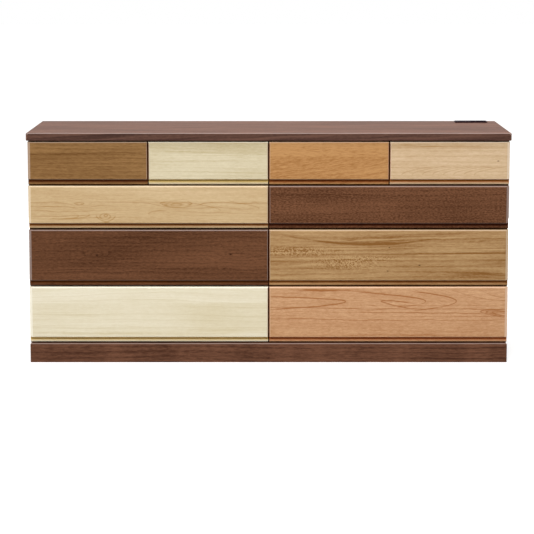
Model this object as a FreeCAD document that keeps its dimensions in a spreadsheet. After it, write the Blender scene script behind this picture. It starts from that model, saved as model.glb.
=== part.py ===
import FreeCAD, Part
import math
import os
import re
import Sketcher

# Low chest of ten drawers. Millimetres, +Z up, front towards -Y, origin at the middle of the footprint.

# Driving dimensions
SIZES = {
    # Top board
    "top_width": 1500,
    "top_depth": 450,
    "top_thick": 24,
    "top_corner_radius": 10,
    "top_upper_round": 4,
    "top_lower_round": 3,
    "side_overhang": 5,
    "front_overhang": 5,
    # Plinth
    "plinth_height": 60,
    "plinth_thick": 20,
    "plinth_arris": 2.5,
    "plinth_set_back": 15,
    "plinth_block_leg": 45,
    "plinth_block_lift": 12,
    # Drawer faces
    "short_face": 133,
    "tall_face": 175.5,
    "face_thick": 22,
    "face_stand_off": 1.5,
    "face_arris": 3.5,
    "end_bevel_width": 9,
    "end_bevel_depth": 5,
    "row_gap": 4,
    "column_gap": 4,
    "plinth_gap": 3,
    # Finger pull along the lower edge of each face
    "pull_height": 17,
    "pull_depth": 12,
    "pull_hook": 4,
    "pull_cove": 3.5,
    "pull_crown": 0.5,
    "pull_lip": 1.5,
    # Carcass boards
    "side_thick": 20,
    "partition_thick": 20,
    "short_partition_thick": 18,
    "shelf_thick": 18,
    "rail_thick": 18,
    "rail_depth": 60,
    "bottom_thick": 18,
    "housing": 6,
    "partition_seat": 5,
    "back_thick": 4,
    "back_inset": 8,
    "back_groove": 5,
    "top_groove": 4,
    # Drawer boxes
    "box_wall": 12,
    "box_rear_gap": 22,
    "box_clear_below": 12,
    "box_clear_above": 12,
    "panel_thick": 5,
    "panel_rise": 10,
    "panel_groove": 6,
    "panel_play": 0.3,
    "pin_width": 8,
    "tail_flare": 2,
    # Hanging runners of the small drawers
    "small_side_gap": 1.5,
    "small_clear_below": 4,
    "runner_height": 12,
    "runner_grip": 6.5,
    "runner_clear": 0.3,
    "runner_front": 20,
    "runner_rear_gap": 30,
    # Ball slides of the wide drawers
    "slide_thick": 12.5,
    "slide_height": 45,
    "slide_sheet": 1.2,
    "slide_lip": 1.6,
    "slide_web_gap": 1,
    "slide_mouth": 3,
    "slide_run": 0.35,
    "strip_thick": 3.6,
    "strip_length": 120,
    "strip_margin": 25,
    "slide_front_inset": 3,
    "slide_back_inset": 34.5,
    # Power outlet in the top
    "outlet_length": 105,
    "outlet_width": 44,
    "outlet_rise": 4,
    "outlet_depth": 38,
    "outlet_flange": 5,
    "outlet_arris": 1.2,
    "outlet_corner_radius": 4,
    "outlet_end_gap": 34,
    "outlet_back_gap": 25,
    "outlet_play": 0.3,
    "outlet_clear": 6,
    "gland_diameter": 9,
    "gland_length": 8,
    "cord_notch_width": 18,
    "cord_notch_height": 14,
    "socket_pitch": 24,
    "blade_pitch": 12.7,
    "blade_slot_thick": 2,
    "blade_slot_width": 7.4,
    "blade_slot_depth": 16,
    "shutter_thick": 1.4,
    "shutter_skin": 1.2,
    "shutter_play": 0.25,
    "shutter_margin": 5,
    "shutter_lap": 2,
    "grip_rib": 1.2,
    "grip_rib_rise": 0.5,
    "grip_rib_pitch": 3,
}
TAIL_COUNT = 3
GRIP_RIB_COUNT = 4
THROUGH_ALL = "ThroughAll"

doc = FreeCAD.newDocument("low_chest")
sheet = doc.addObject("Spreadsheet::Sheet", "sizes")
for row, (size_name, size_value) in enumerate(SIZES.items(), 1):
    sheet.set(f"A{row}", size_name)
    sheet.set(f"B{row}", str(size_value))
    sheet.setAlias(f"B{row}", size_name)
doc.recompute()

nodes = []


# Shared places, as expressions of the driving dimensions
HALF = "(top_width / 2 - side_overhang)"
FACE_FRONT = "(front_overhang - top_depth / 2)"
FACE_BACK = f"({FACE_FRONT} + face_thick)"
FRONT = f"({FACE_BACK} + face_stand_off)"
REAR = "(top_depth / 2)"
BACK_FACE = "(top_depth / 2 - back_inset - back_thick)"
INNER = f"({HALF} - side_thick)"
BAY = f"({INNER} - partition_thick / 2)"
BAY_MIDDLE = f"(({INNER} + partition_thick / 2) / 2)"
ROW_4 = "(plinth_height + plinth_gap)"
ROW_3 = f"({ROW_4} + tall_face + row_gap)"
ROW_2 = f"({ROW_3} + tall_face + row_gap)"
ROW_1 = f"({ROW_2} + short_face + row_gap)"
TOP = f"({ROW_1} + short_face + row_gap)"
SHELF = f"({ROW_1} - row_gap / 2 - shelf_thick / 2)"
UPPER_RAIL = f"({ROW_2} - row_gap / 2 - rail_thick / 2)"
LOWER_RAIL = f"({ROW_3} - row_gap / 2 - rail_thick / 2)"
FLOOR = "(plinth_height + bottom_thick)"
SPLIT = f"({HALF} / 2 + column_gap / 4)"
PLINTH_REAR = "(top_depth / 2 - plinth_set_back)"
BOX_DEPTH = f"({BACK_FACE} - box_rear_gap - {FACE_BACK})"
SLIDE_FRONT = f"({FRONT} + slide_front_inset)"
SLIDE_LENGTH = f"({BACK_FACE} - box_rear_gap - slide_back_inset - {SLIDE_FRONT})"


def cells(text):
    """An expression with each size's name turned into its cell."""
    return re.sub(r"[a-z_]\w*", lambda word: "sizes." + word[0] if word[0] in SIZES else word[0], text)


def bind(item, prop, text):
    item.setExpression(prop, cells(text))


def place(item, spot):
    for axis, text in zip("xyz", spot):
        bind(item, f"Placement.Base.{axis}", text)


def new_body(label):
    body = doc.addObject("PartDesign::Body", label)
    body.Label = label
    return body


def origin_item(body, role):
    return next(item for item in body.Origin.OriginFeatures if item.Role == role)


def block(body, kind, corner, size):
    """A box added to a body or cut from it, from its lowest corner."""
    item = body.newObject(f"PartDesign::{kind}Box", f"{body.Name}_{kind.lower()}")
    for prop, text in zip(("Length", "Width", "Height"), size):
        bind(item, prop, text)
    place(item, corner)
    return item


def wedge(body, kind, across, near, far, low, high):
    """A dovetail key between two Y places: low and high are its half heights there, about z = 0."""
    item = body.newObject(f"PartDesign::{kind}Wedge", f"{body.Name}_tail")
    start, width = across
    ends = {
        "Xmin": start, "Xmax": f"{start} + {width}", "X2min": start, "X2max": f"{start} + {width}",
        "Ymin": near, "Ymax": far,
        "Zmin": f"-({low})", "Zmax": low, "Z2min": f"-({high})", "Z2max": high,
    }
    for prop, text in ends.items():
        bind(item, prop, text)
    return item


def board(label, corner, size, cuts=()):
    body = new_body(label)
    block(body, "Additive", corner, size)
    for cut_corner, cut_size in cuts:
        block(body, "Subtractive", cut_corner, cut_size)
    return body


def sketch(body, role, loops, offset="0"):
    """Closed polygons on one of the body's origin planes, each corner set by two expressions."""
    item = body.newObject("Sketcher::SketchObject", f"{body.Name}_sketch")
    item.AttachmentSupport = (origin_item(body, role), [""])
    item.MapMode = "FlatFace"
    bind(item, "AttachmentOffset.Base.z", offset)
    for loop in loops:
        first = item.GeometryCount
        count = len(loop)
        turn = 2 * math.pi / count
        spots = [FreeCAD.Vector(math.cos(k * turn), math.sin(k * turn), 0) for k in range(count)]
        for k, spot in enumerate(spots):
            item.addGeometry(Part.LineSegment(spot, spots[(k + 1) % count]), False)
        for k in range(count):
            item.addConstraint(Sketcher.Constraint("Coincident", first + k, 2, first + (k + 1) % count, 1))
        for k, corner in enumerate(loop):
            for axis, text, start in zip(("DistanceX", "DistanceY"), corner, spots[k]):
                number = item.addConstraint(Sketcher.Constraint(axis, -1, 1, first + k, 1, start))
                bind(item, f"Constraints[{number}]", text)
    return item


def pad(body, profile, length):
    item = body.newObject("PartDesign::Pad", f"{body.Name}_pad")
    item.Profile = profile
    bind(item, "Length", length)
    return item


def dress(body, kind, size, wanted):
    """A fillet or chamfer on those edges of the body so far that the test picks."""
    doc.recompute()
    base = body.Tip
    bounds = base.Shape.BoundBox
    names = [f"Edge{k}" for k, edge in enumerate(base.Shape.Edges, 1) if wanted(edge.BoundBox, bounds)]
    if not names:
        raise RuntimeError(f"{body.Label}: no edge to dress")
    item = body.newObject(f"PartDesign::{kind}", f"{body.Name}_{kind.lower()}")
    item.Base = (base, names)
    bind(item, "Radius" if kind == "Fillet" else "Size", size)
    return item


def near(one, other):
    return abs(one - other) < 1e-4


def repeat_up(body, originals, pitch, count):
    item = body.newObject("PartDesign::LinearPattern", f"{body.Name}_pattern")
    item.Originals = originals
    item.Direction = (origin_item(body, "Z_Axis"), [""])
    bind(item, "Length", f"{pitch} * {count - 1}")
    item.Occurrences = count
    body.Tip = item
    return item


def node(item):
    nodes.append(item)
    return item


def group(label, pieces):
    item = doc.addObject("Part::Compound", label)
    item.Label = label
    item.Links = pieces
    return node(item)


def side_of(sign, text):
    return text if sign > 0 else f"-({text})"


def span(sign, inner, width):
    """Lowest x of a board that starts at a distance from the middle and goes outwards on one side."""
    return inner if sign > 0 else f"-({inner} + {width})"


# Carcass
def side_panel(label, sign):
    seat = span(sign, INNER, "housing")
    cuts = [
        ((seat, FRONT, "plinth_height"), ("housing", f"{REAR} - {FRONT}", "bottom_thick")),
        ((seat, FRONT, SHELF), ("housing", f"{BACK_FACE} - {FRONT}", "shelf_thick")),
        ((span(sign, INNER, "back_groove"), BACK_FACE, "plinth_height"),
         ("back_groove", "back_thick", f"{TOP} - plinth_height")),
    ]
    for rail in (UPPER_RAIL, LOWER_RAIL):
        cuts.append(((seat, FRONT, rail), ("housing", "rail_depth", "rail_thick")))
    size = ("side_thick", f"{REAR} - {FRONT}", f"{TOP} - plinth_height")
    return node(board(label, (span(sign, INNER, "side_thick"), FRONT, "plinth_height"), size, cuts))


def centre_partition():
    foot = f"({FLOOR} - partition_seat)"
    cuts = []
    for sign in (-1, 1):
        seat = span(sign, "(partition_thick / 2 - housing)", "housing")
        cuts.append(((seat, FRONT, SHELF), ("housing", f"{BACK_FACE} - {FRONT}", "shelf_thick")))
        for rail in (UPPER_RAIL, LOWER_RAIL):
            cuts.append(((seat, FRONT, rail), ("housing", "rail_depth", "rail_thick")))
        groove = span(sign, "(partition_thick / 2 - back_groove)", "back_groove")
        cuts.append(((groove, BACK_FACE, foot), ("back_groove", "back_thick", f"{TOP} - {foot}")))
    size = ("partition_thick", f"{REAR} - {FRONT}", f"{TOP} - {foot}")
    return node(board("centre_partition", ("-partition_thick / 2", FRONT, foot), size, cuts))


def across_bay(sign):
    """Lowest x and length of a board that runs from the centre partition's housing to the side's."""
    length = f"({BAY} + 2 * housing)"
    return span(sign, "(partition_thick / 2 - housing)", length), length


def drawer_shelves():
    pieces = []
    for sign in (-1, 1):
        start, length = across_bay(sign)
        seat = f"({side_of(sign, SPLIT)} - short_partition_thick / 2)"
        cut = ((seat, FRONT, f"{SHELF} + shelf_thick - partition_seat"),
               ("short_partition_thick", f"{BACK_FACE} - {FRONT}", "partition_seat"))
        size = (length, f"{BACK_FACE} - {FRONT}", "shelf_thick")
        pieces.append(board("shelf", (start, FRONT, SHELF), size, [cut]))
    return group("drawer_shelves", pieces)


def short_partitions():
    pieces = []
    foot = f"({SHELF} + shelf_thick - partition_seat)"
    size = ("short_partition_thick", f"{BACK_FACE} - {FRONT}", f"{TOP} - {foot}")
    for sign in (-1, 1):
        start = f"({side_of(sign, SPLIT)} - short_partition_thick / 2)"
        pieces.append(board("short_partition", (start, FRONT, foot), size))
    return group("short_partitions", pieces)


def front_rails():
    pieces = []
    for sign in (-1, 1):
        start, length = across_bay(sign)
        for rail in (UPPER_RAIL, LOWER_RAIL):
            pieces.append(board("front_rail", (start, FRONT, rail), (length, "rail_depth", "rail_thick")))
    return group("front_rails", pieces)


def bottom_board():
    reach = f"({INNER} + housing)"
    seat = (("-partition_thick / 2", FRONT, f"{FLOOR} - partition_seat"),
            ("partition_thick", f"{REAR} - {FRONT}", "partition_seat"))
    groove = ((f"-{reach}", BACK_FACE, f"{FLOOR} - back_groove"),
              (f"2 * {reach}", "back_thick", "back_groove"))
    size = (f"2 * {reach}", f"{REAR} - {FRONT}", "bottom_thick")
    return node(board("bottom_board", (f"-{reach}", FRONT, "plinth_height"), size, [seat, groove]))


OUTLET_MIDDLE = "(top_width / 2 - outlet_end_gap - outlet_length / 2)"
OUTLET_BACK = "(top_depth / 2 - outlet_back_gap)"
OUTLET_FRONT = f"({OUTLET_BACK} - outlet_width)"
OUTLET_BODY_LENGTH = "(outlet_length - 2 * outlet_flange)"
OUTLET_BODY_WIDTH = "(outlet_width - 2 * outlet_flange)"
OUTLET_HANG = "(outlet_depth - top_thick)"


def back_panels():
    pieces = []
    foot = f"({FLOOR} - back_groove)"
    length = f"({BAY} + 2 * back_groove)"
    size = (length, "back_thick", f"{TOP} + top_groove - {foot}")
    notch = ((f"{OUTLET_MIDDLE} - cord_notch_width / 2", BACK_FACE, f"{TOP} - cord_notch_height"),
             ("cord_notch_width", "back_thick", "cord_notch_height + top_groove"))
    for sign in (-1, 1):
        start = span(sign, "(partition_thick / 2 - back_groove)", length)
        pieces.append(board("back_panel", (start, BACK_FACE, foot), size, [notch] if sign > 0 else []))
    return group("back_panels", pieces)


def top_board():
    body = new_body("top_board")
    block(body, "Additive",
          ("-top_width / 2", "-top_depth / 2", TOP), ("top_width", "top_depth", "top_thick"))
    dress(body, "Fillet", "top_corner_radius",
          lambda edge, box: edge.ZLength > edge.XLength and near(edge.YMax, box.YMin))
    for size, level in (("top_upper_round", "ZMax"), ("top_lower_round", "ZMin")):
        dress(body, "Fillet", size,
              lambda edge, box: near(edge.ZMin, getattr(box, level)) and near(edge.ZMax, getattr(box, level))
              and not near(edge.YMin, box.YMax))
    reach = f"({INNER} + back_groove)"
    block(body, "Subtractive", (f"-{reach}", BACK_FACE, TOP), (f"2 * {reach}", "back_thick", "top_groove"))
    block(body, "Subtractive",
          (f"{OUTLET_MIDDLE} - {OUTLET_BODY_LENGTH} / 2 - outlet_play",
           f"{OUTLET_FRONT} + outlet_flange - outlet_play", TOP),
          (f"{OUTLET_BODY_LENGTH} + 2 * outlet_play", f"{OUTLET_BODY_WIDTH} + 2 * outlet_play", "top_thick"))
    return node(body)


# Plinth, with mitred front corners
def plinth():
    corner_in = f"({HALF} - plinth_thick)"
    inside_front = f"({FACE_FRONT} + plinth_thick)"
    inside_rear = f"({PLINTH_REAR} - plinth_thick)"

    front = new_body("plinth_front")
    outline = [(f"-{HALF}", FACE_FRONT), (HALF, FACE_FRONT),
               (corner_in, inside_front), (f"-{corner_in}", inside_front)]
    pad(front, sketch(front, "XY_Plane", [outline]), "plinth_height")
    dress(front, "Chamfer", "plinth_arris",
          lambda edge, box: near(edge.ZMin, box.ZMax) and near(edge.YMax, box.YMin))
    node(front)

    sides = []
    for sign in (-1, 1):
        side = new_body("plinth_side")
        outline = [
            (HALF, FACE_FRONT), (HALF, PLINTH_REAR), (corner_in, PLINTH_REAR), (corner_in, inside_front),
        ]
        outline = [(side_of(sign, x), y) for x, y in outline]
        pad(side, sketch(side, "XY_Plane", [outline]), "plinth_height")
        outer = "XMin" if sign < 0 else "XMax"
        dress(side, "Chamfer", "plinth_arris",
              lambda edge, box: near(edge.ZMin, box.ZMax)
              and near(edge.XMin, getattr(box, outer)) and near(edge.XMax, getattr(box, outer)))
        sides.append(side)
    group("plinth_sides", sides)

    size = (f"2 * {corner_in}", "plinth_thick", "plinth_height")
    node(board("plinth_back", (f"-{corner_in}", inside_rear, "0"), size))
    size = ("plinth_thick", f"{inside_rear} - {inside_front}", "plinth_height")
    node(board("plinth_brace", ("-plinth_thick / 2", inside_front, "0"), size))

    blocks = []
    for sign in (-1, 1):
        for wall, way in ((inside_front, "+"), (inside_rear, "-")):
            item = new_body("plinth_block")
            outline = [(side_of(sign, corner_in), wall),
                       (side_of(sign, f"{corner_in} - plinth_block_leg"), wall),
                       (side_of(sign, corner_in), f"{wall} {way} plinth_block_leg")]
            profile = sketch(item, "XY_Plane", [outline], "plinth_block_lift")
            pad(item, profile, "plinth_height - plinth_block_lift")
            blocks.append(item)
    group("plinth_corner_blocks", blocks)


# Drawer faces: one profile with the finger pull along its lower edge, bevelled at both ends
def drawer_face(label, middle, low, width, height, left_bevel, right_bevel):
    front = "(-face_thick)"
    pull_back = f"({front} + pull_depth)"
    crown = "(pull_height + pull_hook)"
    outline = [
        (pull_back, "0"), ("0", "0"), ("0", height), (f"{front} + face_arris", height),
        (front, f"{height} - face_arris"), (front, "pull_height + pull_lip"),
        (f"{front} + pull_lip", "pull_height"),
        (f"{pull_back} - pull_cove - pull_crown", crown), (pull_back, crown),
    ]
    body = new_body(label)
    pad(body, sketch(body, "YZ_Plane", [outline], f"-{width} / 2"), width)
    dress(body, "Fillet", "pull_cove",
          lambda edge, box: near(edge.YMin, edge.YMax) and near(edge.ZMin, edge.ZMax)
          and edge.ZMin > box.ZMin and box.YMin < edge.YMin < box.YMax and edge.ZMax < box.ZMax
          and near(edge.YMin - box.YMin, float(sheet.get("pull_depth"))))
    loops = []
    for sign, (across, depth) in ((-1, left_bevel), (1, right_bevel)):
        end = side_of(sign, f"{width} / 2")
        foot = side_of(sign, f"{width} / 2 - {across}")
        loops.append([(end, front), (foot, front), (end, f"{front} + {depth}")])
    cut = body.newObject("PartDesign::Pocket", f"{label}_bevels")
    cut.Profile = sketch(body, "XY_Plane", loops)
    cut.Type = THROUGH_ALL
    cut.Reversed = True
    place(body, (middle, FACE_BACK, low))
    return node(body)


# Drawer boxes: sides with tails, front and back with pins, and a plywood bottom let into grooves
def dovetails(body, kind, starts, height, ends):
    """Keys at each x start and each end, repeated up the height with half pins at both edges."""
    pitch = f"({height} / {TAIL_COUNT})"
    wide = f"({pitch} - pin_width) / 2"
    slim = f"({pitch} - pin_width) / 2 - tail_flare"
    keys = []
    for start in starts:
        for end in ends:
            if end == "front":
                key = wedge(body, kind, (start, "box_wall"), "0", "box_wall", wide, slim)
            else:
                key = wedge(body, kind, (start, "box_wall"), f"{BOX_DEPTH} - box_wall", BOX_DEPTH, slim, wide)
            bind(key, "Placement.Base.z", f"{pitch} / 2")
            keys.append(key)
    repeat_up(body, keys, pitch, TAIL_COUNT)


def panel_groove(width):
    """Lowest corner and size of the space that the bottom panel takes, tongues included."""
    reach = f"({width} / 2 - box_wall + panel_groove)"
    near_end = "(box_wall - panel_groove)"
    size = (f"2 * {reach}", f"{BOX_DEPTH} - 2 * {near_end}", "panel_thick")
    return (f"-{reach}", near_end, "panel_rise"), size


def runner_groove(width, height, sign):
    """Groove in the outer face of a small drawer's side, open at the rear."""
    deep = "(runner_grip + runner_clear)"
    tall = "(runner_height + 2 * runner_clear)"
    start = span(sign, f"({width} / 2 - {deep})", deep)
    stop = f"(runner_front - runner_clear + {FRONT} - {FACE_BACK})"
    return (start, stop, f"{height} / 2 - {tall} / 2"), (deep, f"{BOX_DEPTH} - {stop}", tall)


def drawer_box(name, middle, low, width, height, on_runners):
    near_left = f"(-{width} / 2)"
    near_right = f"({width} / 2 - box_wall)"
    pieces = []
    for sign, start in ((-1, near_left), (1, near_right)):
        side = new_body(f"{name}_side")
        size = ("box_wall", f"{BOX_DEPTH} - 2 * box_wall", height)
        block(side, "Additive", (start, "box_wall", "0"), size)
        dovetails(side, "Additive", [start], height, ("front", "back"))
        block(side, "Subtractive", *panel_groove(width))
        if on_runners:
            block(side, "Subtractive", *runner_groove(width, height, sign))
        pieces.append(side)
    for end, start in (("front", "0"), ("back", f"{BOX_DEPTH} - box_wall")):
        wall = new_body(f"{name}_{end}")
        block(wall, "Additive", (near_left, start, "0"), (width, "box_wall", height))
        dovetails(wall, "Subtractive", [near_left, near_right], height, (end,))
        block(wall, "Subtractive", *panel_groove(width))
        if on_runners and end == "back":
            for sign in (-1, 1):
                block(wall, "Subtractive", *runner_groove(width, height, sign))
        pieces.append(wall)
    place(group(f"{name}_box", pieces), (middle, FACE_BACK, low))

    corner, size = panel_groove(width)
    corner = (f"{corner[0]} + panel_play", f"{corner[1]} + panel_play", corner[2])
    size = (f"{size[0]} - 2 * panel_play", f"{size[1]} - 2 * panel_play", size[2])
    panel = node(board(f"{name}_bottom", corner, size))
    place(panel, (middle, FACE_BACK, low))


# Ball slides: outer, middle and inner members nest, with ball strips running between their flanges
EDGE_0 = "(slide_height / 2)"
EDGE_1 = f"({EDGE_0} - slide_sheet)"
EDGE_2 = f"({EDGE_1} - 2 * slide_run - strip_thick)"
EDGE_3 = f"({EDGE_2} - slide_sheet)"
EDGE_4 = f"({EDGE_3} - 2 * slide_run - strip_thick)"
EDGE_5 = f"({EDGE_4} - slide_sheet)"
OUTER_LIP = "(slide_thick - slide_mouth)"
MIDDLE_WEB = "(slide_sheet + slide_web_gap)"
MIDDLE_LIP = "(slide_thick - slide_sheet - slide_web_gap)"
INNER_FLANGE = f"({MIDDLE_WEB} + slide_sheet + slide_web_gap)"


def channel(back, lip_face, tall, flange):
    """A C section with turned-in lips: distances from the wall, and heights from its middle line."""
    web = f"({back} + slide_sheet)"
    lip_back = f"({lip_face} - slide_sheet)"
    lip_end = f"({flange} - slide_lip)"
    upper = [(web, flange), (lip_back, flange), (lip_back, lip_end),
             (lip_face, lip_end), (lip_face, tall), (back, tall)]
    lower = [(u, f"-{v}") for u, v in reversed(upper)]
    return upper + lower


def plain_channel():
    """The drawer's own member: a C section open towards the wall."""
    web = "(slide_thick - slide_sheet)"
    upper = [(web, EDGE_5), (INNER_FLANGE, EDGE_5), (INNER_FLANGE, EDGE_4), ("slide_thick", EDGE_4)]
    return upper + [(u, f"-{v}") for u, v in reversed(upper)]


def slide_member(label, profile, wall, sign, level):
    body = new_body(label)
    outline = [(f"{wall} {'+' if sign > 0 else '-'} {u}", f"{level} + {v}") for u, v in profile]
    pad(body, sketch(body, "XZ_Plane", [outline], f"-({SLIDE_FRONT} + {SLIDE_LENGTH})"), SLIDE_LENGTH)
    return body


def ball_strips(wall, sign, level):
    """Four strips on one middle member: rear ones to the outer member, front ones to the inner."""
    rear = f"{SLIDE_FRONT} + {SLIDE_LENGTH} - strip_margin - strip_length"
    front = f"{SLIDE_FRONT} + strip_margin"
    outer = (MIDDLE_WEB, f"({OUTER_LIP} - slide_sheet - slide_run)", EDGE_1, rear)
    inner = (f"({MIDDLE_WEB} + slide_sheet + slide_run)",
             f"({MIDDLE_LIP} - slide_sheet - slide_run)", EDGE_3, front)
    strips = []
    for start, end, flange, depth in (outer, inner):
        width = f"({end} - {start})"
        x = f"{wall} + {start}" if sign > 0 else f"{wall} - {end}"
        for z in (f"{level} + {flange} - slide_run - strip_thick", f"{level} - {flange} + slide_run"):
            strip = doc.addObject("Part::Box", "ball_strip")
            for prop, text in (("Length", width), ("Width", "strip_length"), ("Height", "strip_thick")):
                bind(strip, prop, text)
            place(strip, (x, depth, z))
            strips.append(strip)
    return strips


outer_members = []


def drawer_slides(name, left_wall, right_wall, level):
    inner = []
    middle = []
    for wall, sign in ((left_wall, 1), (right_wall, -1)):
        profile = channel("0", OUTER_LIP, EDGE_0, EDGE_1)
        outer_members.append(slide_member(f"{name}_outer", profile, wall, sign, level))
        profile = channel(MIDDLE_WEB, MIDDLE_LIP, EDGE_2, EDGE_3)
        middle.append(slide_member(f"{name}_middle", profile, wall, sign, level))
        middle += ball_strips(wall, sign, level)
        inner.append(slide_member(f"{name}_inner", plain_channel(), wall, sign, level))
    group(f"{name}_slide_middle", middle)
    group(f"{name}_slide_inner", inner)


runners = []


def small_runners(left_wall, right_wall, level):
    reach = "(small_side_gap + runner_grip)"
    length = f"{BACK_FACE} - runner_rear_gap - {FRONT} - runner_front"
    for start in (left_wall, f"{right_wall} - {reach}"):
        corner = (start, f"{FRONT} + runner_front", f"{level} - runner_height / 2")
        runners.append(board("runner", corner, (reach, length, "runner_height")))


# The six wide drawers
def wide_drawers():
    rows = (
        ("upper", ROW_2, "short_face", f"({UPPER_RAIL} + rail_thick)", SHELF),
        ("middle", ROW_3, "tall_face", f"({LOWER_RAIL} + rail_thick)", UPPER_RAIL),
        ("lower", ROW_4, "tall_face", FLOOR, LOWER_RAIL),
    )
    bevel = ("end_bevel_width", "end_bevel_depth")
    arris = ("face_arris", "face_arris")
    face_width = f"({HALF} - column_gap / 2)"
    box_width = f"({BAY} - 2 * slide_thick)"
    for row_name, face_low, face_height, floor, ceiling in rows:
        low = f"({floor} + box_clear_below)"
        height = f"({ceiling} - box_clear_above - {low})"
        level = f"({low} + {height} / 2)"
        for sign, side in ((-1, "left"), (1, "right")):
            name = f"{row_name}_{side}_drawer"
            face_middle = side_of(sign, f"{HALF} / 2 + column_gap / 4")
            ends = (bevel, arris) if sign < 0 else (arris, bevel)
            drawer_face(f"{name}_face", face_middle, face_low, face_width, face_height, *ends)
            bay_middle = side_of(sign, BAY_MIDDLE)
            drawer_box(name, bay_middle, low, box_width, height, False)
            drawer_slides(name, f"({bay_middle} - {BAY} / 2)", f"({bay_middle} + {BAY} / 2)", level)


# The four small drawers of the top row
def small_drawers():
    bevel = ("end_bevel_width", "end_bevel_depth")
    arris = ("face_arris", "face_arris")
    face_width = f"({HALF} / 2 - 0.75 * column_gap)"
    low = f"({SHELF} + shelf_thick + small_clear_below)"
    height = f"({TOP} - {OUTLET_HANG} - outlet_clear - {low})"
    level = f"({low} + {height} / 2)"
    edge_in = f"({SPLIT} - short_partition_thick / 2)"
    edge_out = f"({SPLIT} + short_partition_thick / 2)"
    bays = (
        (f"(-{INNER})", f"(-{edge_out})", -1.5, (bevel, arris)),
        (f"(-{edge_in})", "(-partition_thick / 2)", -0.5, (arris, arris)),
        ("(partition_thick / 2)", edge_in, 0.5, (arris, arris)),
        (edge_out, INNER, 1.5, (arris, bevel)),
    )
    for number, (left_wall, right_wall, step, ends) in enumerate(bays, 1):
        name = f"top_drawer_{number}"
        face_middle = f"{step} * ({face_width} + column_gap)"
        drawer_face(f"{name}_face", face_middle, ROW_1, face_width, "short_face", *ends)
        width = f"({right_wall} - {left_wall} - 2 * small_side_gap)"
        drawer_box(name, f"({left_wall} + {right_wall}) / 2", low, width, height, True)
        small_runners(left_wall, right_wall, level)


# Power outlet: flanged housing with a slotted floor under a sliding dust shutter
def outlet():
    deck = f"({TOP} + top_thick)"
    crest = f"({deck} + outlet_rise)"
    slot_tall = "(shutter_thick + 2 * shutter_play)"
    slot_low = f"({crest} - shutter_skin - {slot_tall})"
    window = "(outlet_length - 2 * shutter_margin)"
    window_start = f"({OUTLET_MIDDLE} - {window} / 2)"
    mouth = "(outlet_width - 2 * shutter_margin - 2 * shutter_lap)"
    slot_width = f"({mouth} + 2 * shutter_lap)"
    mid_line = f"({OUTLET_FRONT} + outlet_width / 2)"

    housing = new_body("outlet_housing")
    block(housing, "Additive", (f"{OUTLET_MIDDLE} - outlet_length / 2", OUTLET_FRONT, deck),
          ("outlet_length", "outlet_width", "outlet_rise"))
    dress(housing, "Fillet", "outlet_corner_radius",
          lambda edge, box: edge.ZLength > edge.XLength + edge.YLength)
    dress(housing, "Chamfer", "outlet_arris", lambda edge, box: near(edge.ZMin, box.ZMax))
    block(housing, "Additive",
          (f"{OUTLET_MIDDLE} - {OUTLET_BODY_LENGTH} / 2",
           f"{OUTLET_FRONT} + outlet_flange", f"{deck} - outlet_depth"),
          (OUTLET_BODY_LENGTH, OUTLET_BODY_WIDTH, "outlet_depth"))
    gland = housing.newObject("PartDesign::AdditiveCylinder", "outlet_gland")
    bind(gland, "Radius", "gland_diameter / 2")
    bind(gland, "Height", "gland_length")
    gland.Placement.Rotation = FreeCAD.Rotation(FreeCAD.Vector(1, 0, 0), -90)
    place(gland, (OUTLET_MIDDLE, f"{OUTLET_BACK} - outlet_flange", f"{TOP} - {OUTLET_HANG} / 2"))
    block(housing, "Subtractive", (window_start, f"{mid_line} - {mouth} / 2", f"{crest} - shutter_skin"),
          (window, mouth, "shutter_skin"))
    block(housing, "Subtractive", (window_start, f"{mid_line} - {slot_width} / 2", slot_low),
          (window, slot_width, slot_tall))
    for socket in (-0.5, 0.5):
        for blade in (-0.5, 0.5):
            middle = f"({window_start} + {window} / 4 + {socket} * socket_pitch + {blade} * blade_pitch)"
            block(housing, "Subtractive",
                  (f"{middle} - blade_slot_thick / 2", f"{mid_line} - blade_slot_width / 2",
                   f"{slot_low} - blade_slot_depth"),
                  ("blade_slot_thick", "blade_slot_width", "blade_slot_depth"))
    node(housing)

    shutter = new_body("outlet_shutter")
    length = f"({window} / 2 - 2 * shutter_play)"
    low = f"({slot_low} + shutter_play)"
    start = f"({window_start} + shutter_play)"
    tongue = f"({slot_width} - 2 * shutter_play)"
    raised = f"({mouth} - 2 * shutter_play)"
    block(shutter, "Additive", (start, f"{mid_line} - {tongue} / 2", low), (length, tongue, "shutter_thick"))
    block(shutter, "Additive",
          (start, f"{mid_line} - {raised} / 2", low), (length, raised, f"{crest} - {low}"))
    for rib in range(GRIP_RIB_COUNT):
        offset = f"{rib - (GRIP_RIB_COUNT - 1) / 2} * grip_rib_pitch"
        block(shutter, "Additive",
              (f"{start} + {length} / 2 + {offset} - grip_rib / 2", f"{mid_line} - {raised} / 4", crest),
              ("grip_rib", f"{raised} / 2", "grip_rib_rise"))
    node(shutter)


top_board()
side_panel("left_side_panel", -1)
side_panel("right_side_panel", 1)
centre_partition()
short_partitions()
drawer_shelves()
front_rails()
bottom_board()
back_panels()
plinth()
small_drawers()
wide_drawers()
group("small_drawer_runners", runners)
group("slide_outer_members", outer_members)
outlet()
doc.recompute()

# Every object has to be sound before anything is written
for item in doc.Objects:
    if "Invalid" in item.State or "Error" in item.State:
        raise RuntimeError(f"{item.Label} failed: {item.State}")
for item in nodes:
    if item.Shape.isNull() or not item.Shape.isValid():
        raise RuntimeError(f"{item.Label} has no valid shape")

os.makedirs("parts", exist_ok=True)
for item in nodes:
    item.Shape.exportStep(f"parts/{item.Label}.step")
    print(item.Label, len(item.Shape.Solids), round(item.Shape.Volume / 1000, 1))
print(len(nodes), "nodes")
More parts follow.
